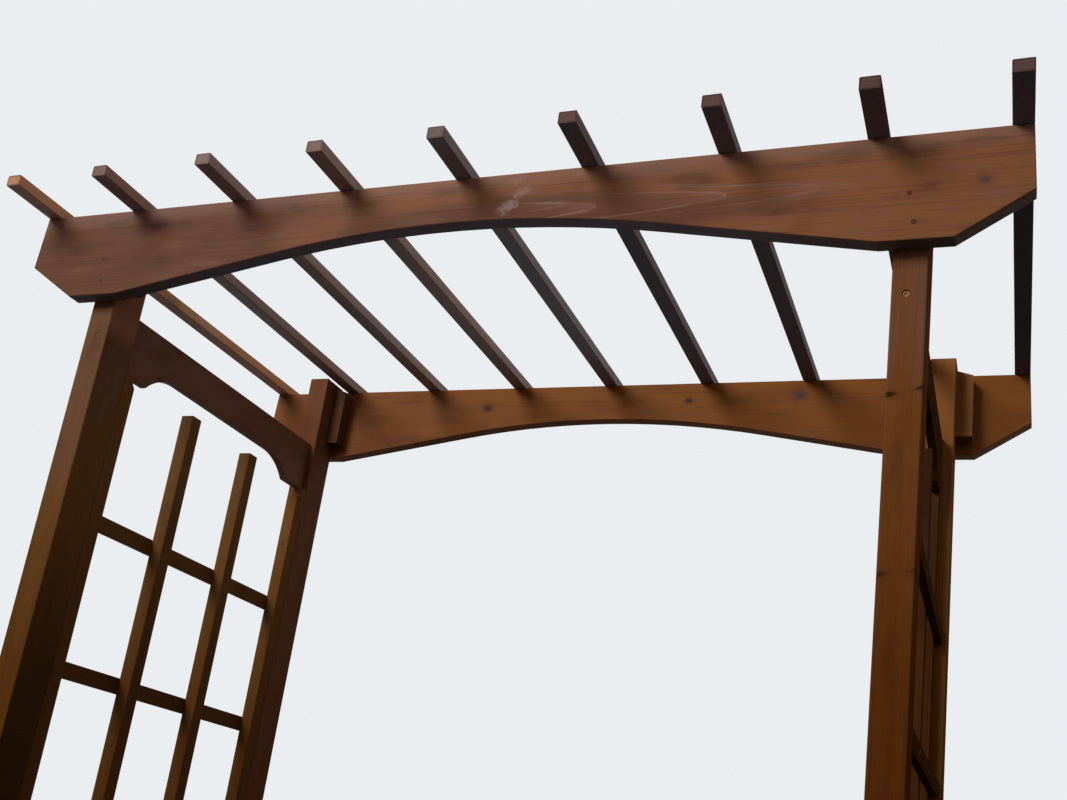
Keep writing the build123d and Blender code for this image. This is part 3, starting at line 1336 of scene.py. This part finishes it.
@dataclass
class Rafters(SubAssembly):
    """The rafters, each screwed down into both beams."""

    seed: str = "rafters"
    knot_count: tuple[int, int] = (0, 2)
    knot_radius: Span = (4.0 * MM, 8.0 * MM)
    patchiness: float = 0.8
    roughness: float = 0.50
    # Painted sky light on the rafters' undersides, more on the shaded ones.
    underside_lights: dict[Coat, float] = field(default_factory=lambda: {Coat.DUSKY_SHADED: 0.75})
    plain_underside_light: float = 0.5
    # Left to right: a sunlit copy, sky-lit copies and shaded copies of one coat, painted light and painted
    # shade.
    looks: tuple[tuple[Coat, float], ...] = (
        (Coat.HONEY_SUNLIT, 0.22),
        (Coat.SKYLIT, 0.40),
        (Coat.SKYLIT, 0.56),
        (Coat.SKYLIT, 0.50),
        (Coat.DUSKY_SHADED, 0.36),
        (Coat.DUSKY_SHADED, 0.09),
        (Coat.DUSKY_SHADED, 0.05),
        (Coat.DUSKY_SHADED, 0.0),
        (Coat.DUSKY_SHADED, 0.0),
    )
    screw_radius: float = 4.0 * MM

    def build(self) -> None:
        """Dress the rafters, left to right, and screw them down."""
        for number, (coat, shine) in enumerate(self.looks, start=1):
            look = {"patchiness": self.patchiness, "roughness": self.roughness, "shine": shine}
            underside_light = self.underside_lights.get(coat, self.plain_underside_light)
            self.dress(f"rafter_{number}", Grain.RAFTER, coat, underside_light=underside_light, **look)
        Screws("rafter_screws", self.screw_radius).build(self.screw_places())

    def screw_places(self) -> Iterable[Matrix]:
        """Yield a place on top of each rafter over each beam.

        Returns:
            The places.
        """
        draw = self.draw("screws")
        for number in range(1, len(self.looks) + 1):
            mark = on_face(f"rafter_{number}", UP)
            for end_name in ENDS:
                mark.y = on_face(f"beam_{end_name}", UP).y
                yield scattered(draw, mark, UP)


@dataclass
class Cleats(SubAssembly):
    """The block in each corner between a post and its beam."""

    seed: str = "cleats"
    screw_radius: float = 4.0 * MM
    screw_drops: Span = (55.0 * MM, 150.0 * MM)
    # cleat_back_left's darker coat is painted shade, and cleat_back_right's lighter one painted light.
    coats: dict[str, Coat] = field(
        default_factory=lambda: {"cleat_back_left": Coat.PEAT_SHADED, "cleat_back_right": Coat.TAN_LIT}
    )
    shine: float = 0.03

    def build(self) -> None:
        """Dress the cleats and screw them to the posts."""
        for node in self.nodes():
            coat = self.coats.get(node, Coat.BROWN)
            SoftwoodFinish(Grain.POST, coat, Growth.drawn(self.draw(node)), shine=self.shine).dress(node)
        Screws("cleat_screws", self.screw_radius).build(self.screw_places())

    @staticmethod
    def nodes() -> list[str]:
        """The cleats' names."""
        return [f"cleat_{end_name}_{side_name}" for end_name, side_name, _ in corners()]

    def screw_places(self) -> Iterable[Matrix]:
        """Yield two places on each cleat's free face.

        Returns:
            The places.
        """
        draw = self.draw("screws")
        normal = Vector((1.0, 0.0, 0.0))
        for node in self.nodes():
            mark = on_face(node, normal)
            top = on_face(node, UP).z
            for drop in self.screw_drops:
                mark.z = top - drop
                yield scattered(draw, mark, normal)


@dataclass
class Studio:
    """Floor, background, lights and camera.

    The camera stands low in front of the right post and looks up to the left, a little tilted.
    """

    eye: tuple[float, float, float] = (1.24603, -2.79864, 0.82709)
    heading: float = math.radians(22.55)
    pitch: float = math.radians(17.04)
    roll: float = math.radians(7.84)
    lens: float = 40.944
    sensor: float = 36.0
    sight: float = 200.0
    shift: Span = (-0.01405, 0.1126)
    aim: tuple[float, float, float] = (0.0, 0.0, 1.9)
    key_way: tuple[float, float, float] = (-0.90, -1.60, 1.10)
    key_distance: float = 10.0
    key_size: float = 5.0
    key_power: float = 790.0
    key_colour: Colour = (1.0, 0.985, 0.965)
    sky: Colour = (0.345, 0.350, 0.358)
    backdrop: Colour = (0.83, 0.85, 0.875)
    floor_shown: Colour = (0.72, 0.72, 0.71)
    floor_lit: Colour = (0.085, 0.082, 0.080)
    floor_half: float = 30.0

    def build(self) -> None:
        """Set up everything round the pergola."""
        self.place_camera()
        self.hang_key_light()
        self.light_world()
        self.lay_floor()
        bpy.context.scene.view_settings.view_transform = "Standard"

    def place_camera(self) -> None:
        """Make the scene's camera."""
        camera = bpy.data.cameras.new("photo_camera")
        camera.sensor_width = self.sensor
        camera.lens = self.lens
        camera.shift_x, camera.shift_y = self.shift
        camera.clip_end = self.sight
        holder = put_in_scene("photo_camera", camera)
        turn = Matrix.Rotation(self.heading, 4, "Z")
        turn = turn @ Matrix.Rotation(math.pi / 2 + self.pitch, 4, "X")
        turn = turn @ Matrix.Rotation(self.roll, 4, "Z")
        holder.matrix_world = Matrix.Translation(Vector(self.eye)) @ turn
        bpy.context.scene.camera = holder

    def hang_key_light(self) -> None:
        """Hang the broad lamp at the front left."""
        lamp = bpy.data.lights.new("key_light", "AREA")
        lamp.shape = "DISK"
        lamp.size = self.key_size
        lamp.energy = self.key_power
        lamp.color = self.key_colour
        holder = put_in_scene("key_light", lamp)
        way = Vector(self.key_way).normalized()
        turn = way.to_track_quat("Z", "Y").to_matrix().to_4x4()
        holder.matrix_world = Matrix.Translation(Vector(self.aim) + way * self.key_distance) @ turn

    def light_world(self) -> None:
        """Give an even sky that is pale to the camera and dimmer as light."""
        world = bpy.data.worlds.new("even_sky")
        world.use_nodes = True
        bpy.context.scene.world = world
        graph = ShaderGraph(world.node_tree)
        colour = graph.blend(graph.shown_plainly(), self.sky, self.backdrop)
        glow = graph.node("ShaderNodeBackground", {}, {"Color": colour, "Strength": 1.0})
        graph.node("ShaderNodeOutputWorld", {}, {"Surface": glow})

    def lay_floor(self) -> None:
        """Lay the plain floor."""
        sheet = bmesh.new()
        bmesh.ops.create_grid(sheet, x_segments=1, y_segments=1, size=self.floor_half)
        mesh = finished_mesh("studio_floor", sheet)
        material, graph = new_material("studio_floor")
        colour = graph.blend(graph.shown_plainly(), self.floor_lit, self.floor_shown)
        matt = graph.node("ShaderNodeBsdfDiffuse", {}, {"Color": colour})
        graph.node("ShaderNodeOutputMaterial", {}, {"Surface": matt})
        mesh.materials.append(material)
        floor = put_in_scene("studio_floor", mesh)
        floor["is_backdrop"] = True


def write_sizes() -> None:
    """Work out the box of the solids and the box of the dressed part, as plain numbers."""
    boxes = {"cad": CAD_BOX, "visual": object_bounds()}
    plain = {name: [[float(part) for part in corner] for corner in box] for name, box in boxes.items()}


def main() -> None:
    """Dress the pergola and set up the studio."""
    logging.basicConfig(level=logging.INFO, format="%(name)s: %(message)s")
    for assembly in (LongBeams(), Posts(), SideBeams(), Trellis(), Rafters(), Cleats()):
        assembly.build()
    Studio().build()
    write_sizes()


if __name__ == "__main__":
    main()
